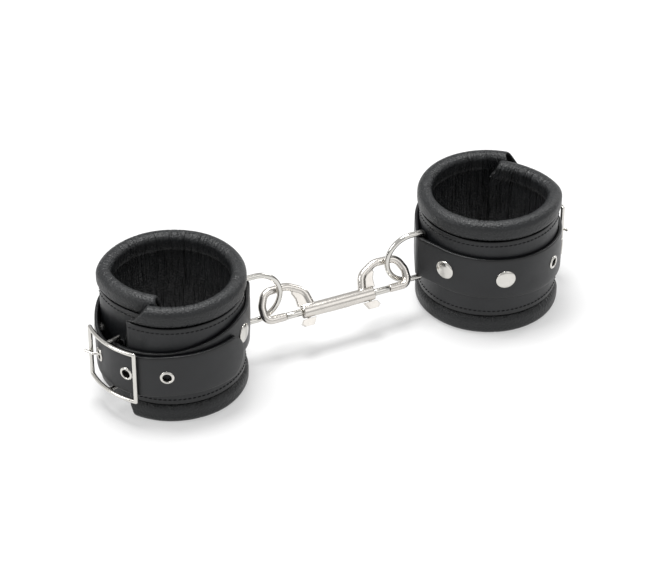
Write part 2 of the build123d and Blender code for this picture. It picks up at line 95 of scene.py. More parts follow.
BODY_STEP = 0.36            # spacing of the sections of the band
FLOOR_SKIM = 0.02           # the band stays this far above the floor
# distance from an end of the band, and how far its section shrinks there
POCKET = [                  # the open fold at the outer flap, from its bottom outwards
    (9.0, 0.9), (8.2, 0.6), (6.8, 0.42), (4.0, 0.34), (1.4, 0.3), (0.12, 0.24), (0.0, 0.12),
    (0.3, 0.03),
]
TUCK = [(0.8, 0.06), (0.25, 0.2), (0.0, 0.4), (0.3, 0.62), (1.6, 0.8)]  # at the inner flap
END_EASE = 30.0             # length over which the slant of an end fades
START_SLANT = 11.0
FINISH_SLANT = 5.0

# ---- strap ----
STRAP_R = 40.85             # middle line of the strap on the panel
STRAP_HALF = 1.25
STRAP_WIDE = 13.0           # half its width
STRAP_EASE = 0.85           # radius of the strap's edges
TONGUE_R = 43.6             # middle line of the tongue, over the layer below
BAR_R = 41.4                # axis of the D-ring's bar
HUMP_R = 3.15               # the strap over that bar
FOLD_AT = -161.0            # centre bar of the buckle
FOLD_R = 2.75
FOLD_CENTRE_R = 38.1
FOLD_TURN = 215.0
LEAVE_AT = 148.0            # where the strap rises over its own end
LEAVE_R = 60.0
SETTLE_R = 36.0
TIP_AT = 307.0
TIP_R = 15.0
BUCKLE_Z = 32.2
HEIGHTS = [                 # angle and height of the strap's middle
    (-161, 32.2), (-112, 35.0), (-80, 39.0), (-50, 42.5), (-12, 39.5), (20, 39.5), (76, 38.4),
    (148, 36.0), (180, 32.2), (221, 32.2), (247, 34.6), (307, 35.8),
]
RIVETS_AT = [-46.0, 27.0, 76.0]
EYELETS_AT = [123.6, 153.6, 183.6, 213.6, 243.6]
# radius and height, from the strap's outer face
EYELET_PROFILE = [
    (2.5, -2.36), (2.5, 0.28), (2.56, 0.46), (2.72, 0.6), (2.98, 0.66), (3.3, 0.62),
    (3.62, 0.48), (3.88, 0.26), (4.0, 0.04), (3.98, -0.06), (2.9, -0.06), (2.9, -1.96),
    (3.95, -1.96), (3.98, -2.16), (3.8, -2.34), (3.0, -2.4),
]
RIVET_PROFILE = [
    (0.0, 1.3), (1.2, 1.27), (2.4, 1.17), (3.5, 1.0), (4.4, 0.78), (5.05, 0.55), (5.45, 0.32),
    (5.64, 0.08), (5.62, -0.2), (5.4, -0.45), (1.5, -0.45), (1.5, -4.6), (0.0, -4.6),
]
PUNCH_PROFILE = [           # cuts the stepped hole that an eyelet sits in
    (0, -3.0), (4.03, -3.0), (4.03, -0.62), (2.93, -0.62), (2.93, 2.0), (0, 2.0),
]
SLOT_CORNERS = [(-4.12, -2.7), (5.2, -2.7), (5.2, 5.2), (-4.12, 5.2)]  # about the centre bar
SLOT_HALF = 2.5             # half the height of the slot for the prong

# ---- snap ----
BOLT_PROFILE = [
    (0.0, 0.0), (1.6, 0.0), (1.98, 0.4), (1.98, 16.2), (1.86, 16.5), (1.46, 16.85), (0.0, 16.9),
]

# ---- stage, in metres and degrees ----
LIGHTS = [                  # name, place, width and height, power
    ("high_soft", (-0.1, 0.35, 2.2), (1.0, 0.7), 60.0),
    ("left_soft", (-1.5, 0.2, 1.0), (0.5, 0.9), 9.0),
    ("right_soft", (1.5, 0.5, 1.0), (0.5, 0.9), 8.0),
    ("front_soft", (0.69, -1.39, 1.26), (1.2, 1.2), 4.0),
]
LIT_POINT = (0, 0, 0.03)
WORLD_STRENGTH = 0.58
FLOOR_REACH = 6.0
FLOOR_GLOW = 0.44           # the floor gives off some light, so that the shadows stay faint
CAMERA_LENS = 148.5
CAMERA_TURN = -24.94
CAMERA_RISE = 35.19
CAMERA_AWAY = 1.4997
CAMERA_TARGET = (-0.00424, 0.00246, 0.0334)

SIDES = (("left", -1), ("right", 1))

CUFF_X = -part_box("outer_panel_left")[1].x / MM + PATH_R + WALL_OUT + PANEL_THICK


# ---- geometry helpers ----
def turn(angle):
    return np.array([cos(radians(angle)), sin(radians(angle))])


def placed(points, side):
    """Cuff points in millimetres about the cuff's axis, put in their place in metres."""
    points = np.asarray(points, float) * MM
    if side < 0:
        return points + (-CUFF_X * MM, 0, 0)
    return points * (-1, -1, 1) + (CUFF_X * MM, 0, 0)


def faced(directions, side):
    """Level directions of a cuff, turned as placed() turns its points."""
    return directions * (1 if side < 0 else -1)


def smooth(x):
    x = np.clip(x, 0, 1)
    return x * x * (3 - 2 * x)


class Path:
    """A plan path of tangent arcs and straight runs; offsets are towards the outside."""

    def __init__(self, parts):
        self.parts = parts
        self.ends = np.cumsum([part[-1] for part in parts])

    @property
    def length(self):
        return self.ends[-1]

    def at(self, distances, offsets):
        """Points at distances along the path, offset outwards; both are arrays of one shape."""
        distances, offsets = np.broadcast_arrays(distances, offsets)
        found = np.zeros(distances.shape + (2,))
        index = np.clip(np.searchsorted(self.ends, distances, side="left"), 0, len(self.parts) - 1)
        for number, part in enumerate(self.parts):
            here = index == number
            along = distances[here] - (self.ends[number] - part[-1])
            off = offsets[here][:, None]
            if part[0] == "arc":
                _, centre, radius, start, _ = part
                angle = np.radians(start) + along / radius
                facing = np.stack([np.cos(angle), np.sin(angle)], 1)
                found[here] = centre + facing * (radius + off)
            else:
                _, begin, heading, facing, _ = part
                found[here] = begin + heading * along[:, None] + facing * off
        return found


def arc(centre, radius, start, end):
    return ("arc", np.asarray(centre, float), radius, start, radians(end - start) * radius)


def run(begin, end, facing):
    step = np.asarray(end) - begin
    length = float(np.hypot(*step))
    return ("run", np.asarray(begin, float), step / length, np.asarray(facing, float), length)


def band_path():
    bend = turn(FLAP_TURN) * (PATH_R - BEND_R)
    lay = bend + turn(BEND_END) * (BEND_R - LAY_R)
    return Path([
        arc((0, 0), PATH_R, FLAP_START, FLAP_TURN),
        arc(bend, BEND_R, FLAP_TURN, BEND_END),
        arc(lay, LAY_R, BEND_END, LAY_END),
    ])


def strap_path():
    lift = degrees(acos((STRAP_R - HUMP_R) / BAR_R))
    bar = np.array([BAR_R, 0.0])
    back, step, home = LEAVE_R - STRAP_R, LEAVE_R - SETTLE_R, TONGUE_R - SETTLE_R
    swing = degrees(acos((back ** 2 + step ** 2 - home ** 2) / (2 * back * step)))
    first = turn(LEAVE_AT) * -back
    second = first + turn(LEAVE_AT + swing) * step
    settled = degrees(np.arctan2(second[1], second[0])) % 360
    down, up = turn(-lift), turn(lift)
    return Path([
        arc(turn(FOLD_AT) * FOLD_CENTRE_R, FOLD_R, FOLD_AT - FOLD_TURN, FOLD_AT),
        arc((0, 0), STRAP_R, FOLD_AT, -lift),
        run(down * STRAP_R, bar + down * HUMP_R, down),
        arc(bar, HUMP_R, -lift, lift),
        run(bar + up * HUMP_R, up * STRAP_R, up),
        arc((0, 0), STRAP_R, lift, LEAVE_AT),
        arc(first, LEAVE_R, LEAVE_AT, LEAVE_AT + swing),
        arc(second, SETTLE_R, LEAVE_AT + swing, settled),
        arc((0, 0), TONGUE_R, settled, TIP_AT),
    ])


def strap_heights(path, distances):
    """Smoothed height of the strap's middle line at distances along it."""
    fine = np.linspace(0, path.length, 2400)
    points = path.at(fine, np.zeros_like(fine))
    angles = np.unwrap(np.arctan2(points[:, 1], points[:, 0]))
    fold_end = path.ends[0]
    at_fold = np.searchsorted(fine, fold_end)
    angles = np.degrees(angles) + FOLD_AT - degrees(angles[at_fold])
    knots = np.array(HEIGHTS, float)
    levels = np.interp(np.maximum(angles, FOLD_AT), knots[:, 0], knots[:, 1])
    levels[:at_fold] = BUCKLE_Z
    reach = 60
    kernel = np.exp(-np.linspace(-2.2, 2.2, 2 * reach + 1) ** 2)
    padded = np.pad(levels, reach, mode="edge")
    levels = np.convolve(padded, kernel / kernel.sum(), mode="valid")
    return np.interp(distances, fine, levels), np.interp(distances, fine, angles)


def strap_place(path, angle):
    """Distance along the strap, height and outward direction at an angle round the cuff."""
    fine = np.linspace(path.ends[0], path.length, 6000)
    _, angles = strap_heights(path, fine)
    spot = fine[np.argmin(np.abs(angles - angle))]
    level = strap_heights(path, np.array([spot]))[0][0]
    middle = path.at(np.array([spot]), np.array([0.0]))[0]
    outer = path.at(np.array([spot]), np.array([1.0]))[0]
    return np.append(middle, level), np.append(outer - middle, 0.0)


# ---- mesh helpers ----
def linked(name, data):
    """A new object for a mesh, light or camera, put in the scene."""
    piece = bpy.data.objects.new(name, data)
    bpy.context.scene.collection.objects.link(piece)
    return piece


def make_object(name, verts, faces):
    mesh = bpy.data.meshes.new(name)
    mesh.from_pydata([tuple(v) for v in verts], [], faces)
    return linked(name, mesh)


def smooth_faces(mesh):
    for face in mesh.polygons:
        face.use_smooth = True


@contextmanager
def opened(mesh):
    """A mesh opened for bmesh work, and put back after it."""
    work = bmesh.new()
    work.from_mesh(mesh)
    yield work
    work.to_mesh(mesh)
    work.free()


def face_outwards(piece):
    with opened(piece.data) as work:
        bmesh.ops.recalc_face_normals(work, faces=work.faces)
    smooth_faces(piece.data)


def swept(name, rings, along, around, fields=None):
    """A closed skin through rings of points, with a UV map that runs along and around it."""
    count, size = rings.shape[:2]
    verts = np.concatenate([rings.reshape(-1, 3), rings[:1].mean(1), rings[-1:].mean(1)])
    faces, uvs = [], []
    for i in range(count - 1):
        for j in range(size):
            k = (j + 1) % size
            faces.append((i * size + j, i * size + k, (i + 1) * size + k, (i + 1) * size + j))
            uvs += [(along[i], around[j]), (along[i], around[j + 1]),
                    (along[i + 1], around[j + 1]), (along[i + 1], around[j])]
    for ring, tip in ((0, count * size), (count - 1, count * size + 1)):
        for j in range(size):
            k = (j + 1) % size
            faces.append((ring * size + j, ring * size + k, tip))
            uvs += [(along[ring], around[j]), (along[ring], around[j + 1]),
                    (along[ring], around[j])]
    piece = make_object(name, verts, faces)
    layer = piece.data.uv_layers.new(name="along_and_round")
    layer.data.foreach_set("uv", (np.array(uvs) * MM).ravel())
    for label, values in (fields or {}).items():
        full = np.concatenate([values.ravel(), values[0, :1], values[-1, :1]])
        field = piece.data.attributes.new(label, "FLOAT", "POINT")
        field.data.foreach_set("value", full.astype(np.float32))
    face_outwards(piece)
    return piece


def swept_path(name, path, side, along, places, offsets, heights, outline, fields):
    """The skin of a piece that follows a path: places along it, offsets from it and heights.
    along and outline give its UV map."""
    rings = np.concatenate([path.at(places, offsets), heights[..., None]], 2)
    return swept(name, placed(rings, side), along, girth(outline), fields)


def girth(points):
    """Running length round a closed outline, one value more than it has points."""
    loop = np.vstack([points, points[:1]])
    return np.append(0, np.cumsum(np.hypot(*np.diff(loop, axis=0).T)))


def finish_piece(piece, finish, body, slot, *nodes):
    """Gives a piece its material, the body it rides on, and the CAD nodes it stands for."""
    piece.data.materials.clear()
    piece.data.materials.append(finishes()[finish])
    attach(piece, body)
    if nodes:
        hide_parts(*nodes)


def finished_mesh(piece):
    """The mesh of a piece with its modifiers done."""
    graph = bpy.context.evaluated_depsgraph_get()
    graph.update()
    return bpy.data.meshes.new_from_object(piece.evaluated_get(graph))


def evaluated(piece, name):
    """A plain smooth object of a piece with its modifiers done; the piece itself is removed."""
    mesh = finished_mesh(piece)
    bpy.data.objects.remove(piece)
    mesh.name = name
    smooth_faces(mesh)
    return linked(name, mesh)


def lathe(name, profile, sides=40):
    """A turned shape about Z from a closed profile of radius and height in millimetres."""
    profile = np.array(profile, float) * MM
    verts, faces = [], []
    for i in range(sides):
        c, s = cos(2 * pi * i / sides), sin(2 * pi * i / sides)
        verts += [(r * c, r * s, z) for r, z in profile]
    size = len(profile)
    for i in range(sides):
        n = (i + 1) % sides
        for j in range(size):
            k = (j + 1) % size
            faces.append((i * size + j, n * size + j, n * size + k, i * size + k))
    piece = make_object(name, verts, faces)
    with opened(piece.data) as work:
        bmesh.ops.remove_doubles(work, verts=work.verts, dist=1e-7)
        bmesh.ops.dissolve_degenerate(work, edges=work.edges, dist=1e-8)
    face_outwards(piece)
    return piece


# ---- geometry node trees ----
def new_tree(name, inputs):
    tree = bpy.data.node_groups.new(name, "GeometryNodeTree")
    tree.interface.new_socket("Geometry", in_out="INPUT", socket_type="NodeSocketGeometry")
    for label, kind, default in inputs:
        socket = tree.interface.new_socket(label, in_out="INPUT", socket_type=kind)
        if default is not None:
            socket.default_value = default
    tree.interface.new_socket("Geometry", in_out="OUTPUT", socket_type="NodeSocketGeometry")
    return tree


def wire(tree, *links):
    """Links an output of one node to an input of another, by the names of the sockets."""
    for source, outlet, target, inlet in links:
        tree.links.new(source.outputs[outlet], target.inputs[inlet])


def finish_tree(tree, given, drop):
    """Ends a tree with real meshes that carry the material."""
    real = tree.nodes.new("GeometryNodeRealizeInstances")
    coat = tree.nodes.new("GeometryNodeSetMaterial")
    out = tree.nodes.new("NodeGroupOutput")
    wire(tree, (drop, "Instances", real, "Geometry"), (real, "Geometry", coat, "Geometry"),
         (given, "Material", coat, "Material"), (coat, "Geometry", out, "Geometry"))


def facing_node(tree):
    """The outward direction that each point of a carrier holds."""
    facing = tree.nodes.new("GeometryNodeInputNamedAttribute")
    facing.data_type = "FLOAT_VECTOR"
    facing.inputs["Name"].default_value = "facing"
    return facing


def sewing_tree():
    """Separate stitches set at an even pitch along a line."""
    tree = new_tree("sewn_row", [
        ("Pitch", "NodeSocketFloat", 0.003), ("Stitch Length", "NodeSocketFloat", 0.0022),
        ("Thread Radius", "NodeSocketFloat", 0.0003), ("Slant", "NodeSocketFloat", 0.12),
        ("Material", "NodeSocketMaterial", None),
    ])
    add = tree.nodes.new
    given, line = add("NodeGroupInput"), add("GeometryNodeMeshToCurve")
    spaced, tangent = add("GeometryNodeResampleCurve"), add("GeometryNodeInputTangent")
    spaced.mode = "LENGTH"
    aim, tilt = add("FunctionNodeAlignRotationToVector"), add("FunctionNodeRotateRotation")
    aim.axis = "Z"
    tilt.rotation_space = "GLOBAL"
    facing, lean = facing_node(tree), add("FunctionNodeAxisAngleToRotation")
    thread = add("GeometryNodeMeshUVSphere")
    for label, value in (("Segments", 8), ("Rings", 6), ("Radius", 1.0)):
        thread.inputs[label].default_value = value
    half, size = add("ShaderNodeMath"), add("ShaderNodeCombineXYZ")
    half.operation = "MULTIPLY"
    half.inputs[1].default_value = 0.5
    drop = add("GeometryNodeInstanceOnPoints")
    wire(tree,
         (given, "Geometry", line, "Mesh"), (line, "Curve", spaced, "Curve"),
         (given, "Pitch", spaced, "Length"), (tangent, "Tangent", aim, "Vector"),
         (facing, "Attribute", lean, "Axis"), (given, "Slant", lean, "Angle"),
         (aim, "Rotation", tilt, "Rotation"), (lean, "Rotation", tilt, "Rotate By"),
         (given, "Stitch Length", half, 0), (half, 0, size, "Z"),
         (given, "Thread Radius", size, "X"), (given, "Thread Radius", size, "Y"),
         (spaced, "Curve", drop, "Points"), (thread, "Mesh", drop, "Instance"),
         (tilt, "Rotation", drop, "Rotation"), (size, "Vector", drop, "Scale"))
    finish_tree(tree, given, drop)
    return tree


def fitting_tree():
    """One turned fitting set at each point of a mesh, facing the way the point says."""
    tree = new_tree("pressed_fittings", [
        ("Fitting", "NodeSocketObject", None), ("Size", "NodeSocketFloat", 1.0),
        ("Material", "NodeSocketMaterial", None),
    ])
    add = tree.nodes.new
    given, shape = add("NodeGroupInput"), add("GeometryNodeObjectInfo")
    facing, aim = facing_node(tree), add("FunctionNodeAlignRotationToVector")
    aim.axis = "Z"
    drop = add("GeometryNodeInstanceOnPoints")
    wire(tree,
         (given, "Fitting", shape, "Object"), (facing, "Attribute", aim, "Vector"),
         (given, "Geometry", drop, "Points"), (shape, "Geometry", drop, "Instance"),
         (aim, "Rotation", drop, "Rotation"), (given, "Size", drop, "Scale"))
    finish_tree(tree, given, drop)
    return tree


def run_tree(carrier, tree, name, **values):
    """Runs a node tree on a carrier mesh and gives back the plain mesh that it makes."""
    modifier = carrier.modifiers.new("nodes", "NODES")
    modifier.node_group = tree
    sockets = {item.name: item.identifier for item in tree.interface.items_tree
               if item.in_out == "INPUT"}
    for label, value in values.items():
        modifier[sockets[label.replace("_", " ")]] = value
    return evaluated(carrier, name)


def carrier_mesh(points, facings, joined):
    """Points, or a line through them, that carry an outward direction each."""
    mesh = bpy.data.meshes.new("carrier")
    edges = [(i, i + 1) for i in range(len(points) - 1)] if joined else []
    mesh.from_pydata([tuple(p) for p in points], edges, [])
    field = mesh.attributes.new("facing", "FLOAT_VECTOR", "POINT")
    field.data.foreach_set("vector", np.asarray(facings, np.float32).ravel())
    return linked("carrier", mesh)


# ---- shader groups and materials ----
def new_group(name, inputs, outputs):
    group = bpy.data.node_groups.new(name, "ShaderNodeTree")
    for label, default in inputs:
        socket = group.interface.new_socket(label, in_out="INPUT", socket_type="NodeSocketFloat")
        socket.default_value = default
    for label in outputs:
        group.interface.new_socket(label, in_out="OUTPUT", socket_type="NodeSocketFloat")
    return group, group.nodes.new("NodeGroupInput"), group.nodes.new("NodeGroupOutput")


def feed(tree, socket, value):
    """Links an output to a socket, or gives the socket a plain value."""
    if hasattr(value, "is_linked"):
        tree.links.new(value, socket)
    else:
        socket.default_value = value


def math_node(tree, operation, first, second):
    node = tree.nodes.new("ShaderNodeMath")
    node.operation = operation
    feed(tree, node.inputs[0], first)
    feed(tree, node.inputs[1], second)
    return node.outputs[0]


def noise_node(tree, where, scale, detail=2.0, rough=0.5):
    node = tree.nodes.new("ShaderNodeTexNoise")
    node.inputs["Detail"].default_value = detail
    node.inputs["Roughness"].default_value = rough
    tree.links.new(where, node.inputs["Vector"])
    feed(tree, node.inputs["Scale"], scale)
    return node.outputs["Fac"]


def map_node(tree, value, low, high, to_low, to_high):
    node = tree.nodes.new("ShaderNodeMapRange")
    tree.links.new(value, node.inputs["Value"])
    for label, number in (("From Min", low), ("From Max", high),
                          ("To Min", to_low), ("To Max", to_high)):
        node.inputs[label].default_value = number
    return node.outputs["Result"]


def grain_group():
    """Leather grain: rounded pebbles with fine pores, and a slow change of tone."""
    group, given, out = new_group(
        "leather_grain",
        [("Pebbles per Metre", 900.0), ("Pebble Depth", 1.0), ("Pore Depth", 0.3)],
        ["Height", "Tone"])
    where = group.nodes.new("ShaderNodeTexCoord").outputs["Object"]
    cells = group.nodes.new("ShaderNodeTexVoronoi")
    cells.feature = "SMOOTH_F1"
    cells.inputs["Smoothness"].default_value = 0.35
    group.links.new(where, cells.inputs["Vector"])
    group.links.new(given.outputs["Pebbles per Metre"], cells.inputs["Scale"])
    pebble = math_node(group, "SUBTRACT", 1.0, cells.outputs["Distance"])
    pebble = math_node(group, "MULTIPLY", pebble, given.outputs["Pebble Depth"])
    finer = math_node(group, "MULTIPLY", given.outputs["Pebbles per Metre"], 2.7)
    pores = noise_node(group, where, finer, 3.0, 0.6)
    pores = math_node(group, "MULTIPLY", pores, given.outputs["Pore Depth"])
    group.links.new(math_node(group, "ADD", pebble, pores), out.inputs["Height"])
    tone = noise_node(group, where, 70.0, 3.0, 0.55)
    group.links.new(map_node(group, tone, 0.3, 0.7, 0.0, 1.0), out.inputs["Tone"])
    return group


def handling_group():
    """Handled metal: cloudy smudges, and the shallow unevenness left by polishing."""
    group, given, out = new_group(
        "handled_metal", [("Smudges per Metre", 130.0), ("Waves per Metre", 420.0)],
        ["Smudge", "Height"])
    where = group.nodes.new("ShaderNodeTexCoord").outputs["Object"]
    smudge = noise_node(group, where, given.outputs["Smudges per Metre"], 4.0, 0.6)
    group.links.new(map_node(group, smudge, 0.35, 0.7, 0.0, 1.0), out.inputs["Smudge"])
    wave = noise_node(group, where, given.outputs["Waves per Metre"], 2.0, 0.5)
    group.links.new(wave, out.inputs["Height"])
    return group


def new_material(name, colour, **constants):
    material = bpy.data.materials.new(name)
    material.use_fake_user = True
    material.use_nodes = True
    shader = material.node_tree.nodes["Principled BSDF"]
    shader.inputs["Base Color"].default_value = scaled(colour, 1.0)
    for label, value in constants.items():
        shader.inputs[label.replace("_", " ")].default_value = value
    return material.node_tree, shader


def dress(tree, shader, **surface):
    """Links what changes over the surface to the shader's sockets of those names."""
    for label, value in surface.items():
        tree.links.new(value, shader.inputs[label.replace("_", " ")])


def place_group(tree, group, **values):
    node = tree.nodes.new("ShaderNodeGroup")
    node.node_tree = group
    for label, value in values.items():
        node.inputs[label.replace("_", " ")].default_value = value
    return node


def mix_colours(tree, amount, first, second):
    node = tree.nodes.new("ShaderNodeMix")
    node.data_type = "RGBA"
    tree.links.new(amount, node.inputs["Factor"])
    feed(tree, node.inputs[6], first)       # colour A
    feed(tree, node.inputs[7], second)      # colour B
    return node.outputs[2]                  # colour result


def field_node(tree, name):
    node = tree.nodes.new("ShaderNodeAttribute")
    node.attribute_name = name
    return node.outputs["Fac"]


def bump_node(tree, height, distance, strength, under=None):
    node = tree.nodes.new("ShaderNodeBump")
    node.inputs["Distance"].default_value = distance
    node.inputs["Strength"].default_value = strength
    tree.links.new(height, node.inputs["Height"])
    if under is not None:
        tree.links.new(under, node.inputs["Normal"])
    return node.outputs["Normal"]


def scaled(colour, factor):
    return (*(channel * factor for channel in colour[:3]), 1.0)


def garment_leather(colour, grain):
    """Soft leather of the rolls and lining: pebbled, with fine gathers where it is sewn in, and
    painted shade darkening the pucker valleys, the creases and the folded ends.
    """
    tree, shader = new_material("roll_leather", colour, Specular_IOR_Level=0.4)
    skin = place_group(tree, grain, Pebbles_per_Metre=820.0, Pebble_Depth=1.0, Pore_Depth=0.8)
    round_map = tree.nodes.new("ShaderNodeUVMap")
    round_map.uv_map = "along_and_round"
    stretch = tree.nodes.new("ShaderNodeMapping")
    stretch.inputs["Scale"].default_value = (1.0, 0.09, 1.0)
    tree.links.new(round_map.outputs["UV"], stretch.inputs["Vector"])
    folds = noise_node(tree, stretch.outputs["Vector"], 620.0, 2.0, 0.55)
    folds = math_node(tree, "MULTIPLY", folds, field_node(tree, "gather"))
    normal = bump_node(tree, folds, 0.0016, 1.0)
    normal = bump_node(tree, skin.outputs["Height"], 0.00026, 1.0, normal)
    tone = mix_colours(tree, skin.outputs["Tone"], scaled(colour, 0.8), scaled(colour, 1.25))
    # painted shade: the colour is darkened to a quarter in the pucker valleys, the creases and the
    # folded ends of the band
    tone = mix_colours(tree, field_node(tree, "painted_crease_shade"), tone, scaled(colour, 0.25))
    shine = map_node(tree, skin.outputs["Height"], 0.5, 1.7, 0.46, 0.27)
    dress(tree, shader, Normal=normal, Base_Color=tone, Roughness=shine)


def bridle_leather(colour, grain):
    """Firm smooth leather of the panel and strap, with burnished edges."""
    tree, shader = new_material("strap_leather", colour, Specular_IOR_Level=0.4)
    skin = place_group(tree, grain, Pebbles_per_Metre=1900.0, Pebble_Depth=0.35, Pore_Depth=0.8)
    edge = field_node(tree, "edge")
    normal = bump_node(tree, skin.outputs["Height"], 0.00008, 0.7)
    tone = mix_colours(tree, skin.outputs["Tone"], scaled(colour, 0.88), scaled(colour, 1.14))
    tone = mix_colours(tree, edge, tone, scaled(colour, 0.45))
    shine = map_node(tree, skin.outputs["Tone"], 0.0, 1.0, 0.46, 0.36)
    shine = math_node(tree, "SUBTRACT", shine, math_node(tree, "MULTIPLY", edge, 0.1))
    dress(tree, shader, Normal=normal, Base_Color=tone, Roughness=shine)


def sewing_thread(colour):
    """Bonded thread: dull, with a fine twist along it."""
    tree, shader = new_material("sewing_thread", colour, Specular_IOR_Level=0.3)
    where = tree.nodes.new("ShaderNodeTexCoord").outputs["Object"]
    twist = noise_node(tree, where, 5200.0, 2.0, 0.5)
    dress(tree, shader, Normal=bump_node(tree, twist, 0.0001, 0.8),
          Base_Color=mix_colours(tree, twist, scaled(colour, 0.7), scaled(colour, 1.4)),
          Roughness=map_node(tree, twist, 0.3, 0.7, 0.75, 0.6))


def handled_metal(name, colour, handling, rough, smudged, wave_depth):
    """Nickel-plated metal: rough is where it is clean and smudged where it has been handled."""
    tree, shader = new_material(name, colour, Metallic=1.0)
    wear = place_group(tree, handling)
    smudge = wear.outputs["Smudge"]
    dress(tree, shader, Normal=bump_node(tree, wear.outputs["Height"], wave_depth, 0.6),
          Base_Color=mix_colours(tree, smudge, scaled(colour, 1.0), scaled(colour, 0.9)),
          Roughness=map_node(tree, smudge, 0.0, 1.0, rough, smudged))


def finishes():
    """Every material by name, made once."""
    if "roll_leather" not in bpy.data.materials:
        look = bpy.context.scene.cuff_finish
        grain, handling = grain_group(), handling_group()
        garment_leather(look.garment_colour, grain)
        bridle_leather(look.bridle_colour, grain)
        sewing_thread(look.thread_colour)
        cast = look.cast_colour
        handled_metal("polished_nickel", look.nickel_colour, handling, 0.13, 0.24, 0.00004)
        handled_metal("plated_casting", cast, handling, 0.2, 0.3, 0.00005)
        handled_metal("spring_wire", scaled(cast, 0.8), handling, 0.3, 0.4, 0.00002)
    return bpy.data.materials


# ---- band ----
def roll_outline(level, way):
    """Half of the band's section: from the outer crease round a roll to the inner crease.
    Gives points, the middle point each shrinks towards, and how far round the roll each is."""
    turns = ((-62, 0, 7, -ROLL_FLAT), (0, 180, 21, ROLL_FLAT), (180, 221, 5, -ROLL_FLAT))
    points = np.array([(ROLL_HALF * cos(a), middle + ROLL_HALF * sin(a))
                       for start, end, count, middle in turns
                       for a in np.radians(np.linspace(start, end, count))])
    middles = np.stack([points[:, 0] * 0, np.clip(points[:, 1], -ROLL_FLAT, ROLL_FLAT)], 1)
    steps = np.append(0, np.cumsum(np.hypot(*np.diff(points, axis=0).T)))
    shift = np.array([0, level])
    return points * (1, way) + shift, middles * (1, way) + shift, steps / steps[-1]


def band_section():
    """The band's section: points, the points they shrink towards, gather and place."""
    top, top_mid, top_round = roll_outline(ROLL_HIGH, 1)
    low, low_mid, low_round = roll_outline(ROLL_LOW, -1)
    inner_z = np.linspace(62.6, 10.9, 22)
    swell = 0.35 * np.sin(np.linspace(0, pi, 22)) ** 0.6
    inner = np.stack([WALL_IN + 0.75 * np.exp(-np.minimum(62.9 - inner_z, inner_z - 10.6) / 0.7)
                      - swell, inner_z], 1)
    inner_mid = np.stack([np.full(22, -1.1), inner_z], 1)
    outer_z = np.linspace(PANEL_LOW - 0.3, PANEL_HIGH + 0.3, 6)
    outer = np.stack([np.full(6, WALL_OUT - 0.02), outer_z], 1)
    outer_mid = np.stack([np.full(6, -1.0), outer_z], 1)
    points = np.vstack([outer, top, inner, low[::-1]])
    points[:, 1] = np.maximum(points[:, 1], FLOOR_SKIM)
    middles = np.vstack([outer_mid, top_mid, inner_mid, low_mid[::-1]])
    kinds = np.concatenate([np.full(6, -1.0), top_round, np.full(22, 2.0), 3 + low_round[::-1]])
    return points, middles, kinds


def pleats(distances, pitch, seed):
    """Sewn-in pleats along a line: how deep each spot lies, 0 to 1, and how far each reaches."""
    rng = np.random.default_rng(seed)
    gaps = rng.uniform(0.62, 1.5, int(distances.max() / pitch * 1.8) + 8) * pitch
    valleys = np.cumsum(gaps) - 2 * pitch
    depths = rng.uniform(0.35, 1.0, len(valleys))
    reaches = rng.uniform(0.25, 1.0, len(valleys))
    spot = np.clip(np.searchsorted(valleys, distances) - 1, 0, len(valleys) - 2)
    part = np.clip((distances - valleys[spot]) / (valleys[spot + 1] - valleys[spot]), 0, 1)
    nearer = np.where(part < 0.5, spot, spot + 1)
    return (1 - np.sin(pi * part) ** 0.6) * depths[nearer], reaches[nearer]


def slow_wave(distances, wavelength, seed):
    """A smooth random line between -1 and 1 along the band."""
    rng = np.random.default_rng(seed)
    knots = rng.uniform(-1, 1, int(distances.max() / wavelength) + 6)
    spot = np.clip(distances, 0, None) / wavelength
    base = spot.astype(int)
    mix = smooth(spot - base)
    return knots[base] * (1 - mix) + knots[base + 1] * mix


def slant(heights, reach):
    """How far the leather of each roll stops short at the ends of the band."""
    top = np.clip((heights - PANEL_HIGH) / (BAND_TOP - PANEL_HIGH), 0, 1) ** 0.6
    low = np.clip((PANEL_LOW - heights) / PANEL_LOW, 0, 1)
    return reach * (top + 0.3 * low)


